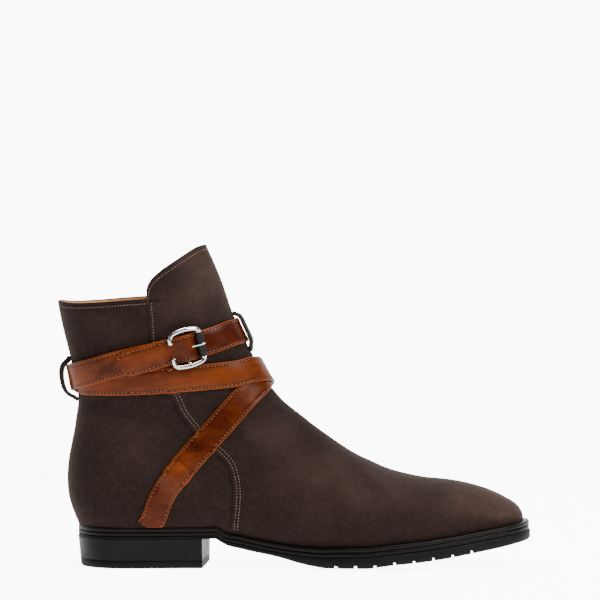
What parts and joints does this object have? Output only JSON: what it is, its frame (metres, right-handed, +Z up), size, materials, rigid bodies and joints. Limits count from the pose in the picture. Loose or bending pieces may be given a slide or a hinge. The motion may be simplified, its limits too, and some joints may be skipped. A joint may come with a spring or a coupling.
{
  "type": "jodhpur boot",
  "caption": "Suede jodhpur ankle boot for the right foot, with long crossed straps fastened by a roller buckle and a stacked welted sole.",
  "frame": {"origin": "centre of the heel's ground face", "axes": "+X towards the toe, +Z up, -Y towards the outer side of the foot, where the buckle is"},
  "size_m": [0.3176, 0.1047, 0.215],
  "materials": {
    "suede": "napped suede, matt",
    "lining": "smooth, matt",
    "strap_leather": "waxed, semi-gloss",
    "loop_suede": "napped suede, matt",
    "sole_leather": "dyed edge, satin",
    "rubber": "moulded, satin",
    "heel_stack": "dyed and polished edge",
    "buckle_metal": "polished",
    "buckle_black": "gloss black"
  },
  "bodies": {
    "root": {"upper": "suede", "insole": "lining", "welt": "sole_leather", "midsole": "sole_leather", "outsole": "rubber", "heel": "heel_stack", "top_lift": "rubber", "tab_lateral": "strap_leather", "tab_medial": "strap_leather", "strap_buckle": "strap_leather", "strap_tip": "strap_leather", "loop_back": "loop_suede", "loop_front": "loop_suede", "buckle_frame": "buckle_metal", "buckle_prong": "buckle_metal", "buckle_roller": "buckle_black"}
  },
  "joints": []
}
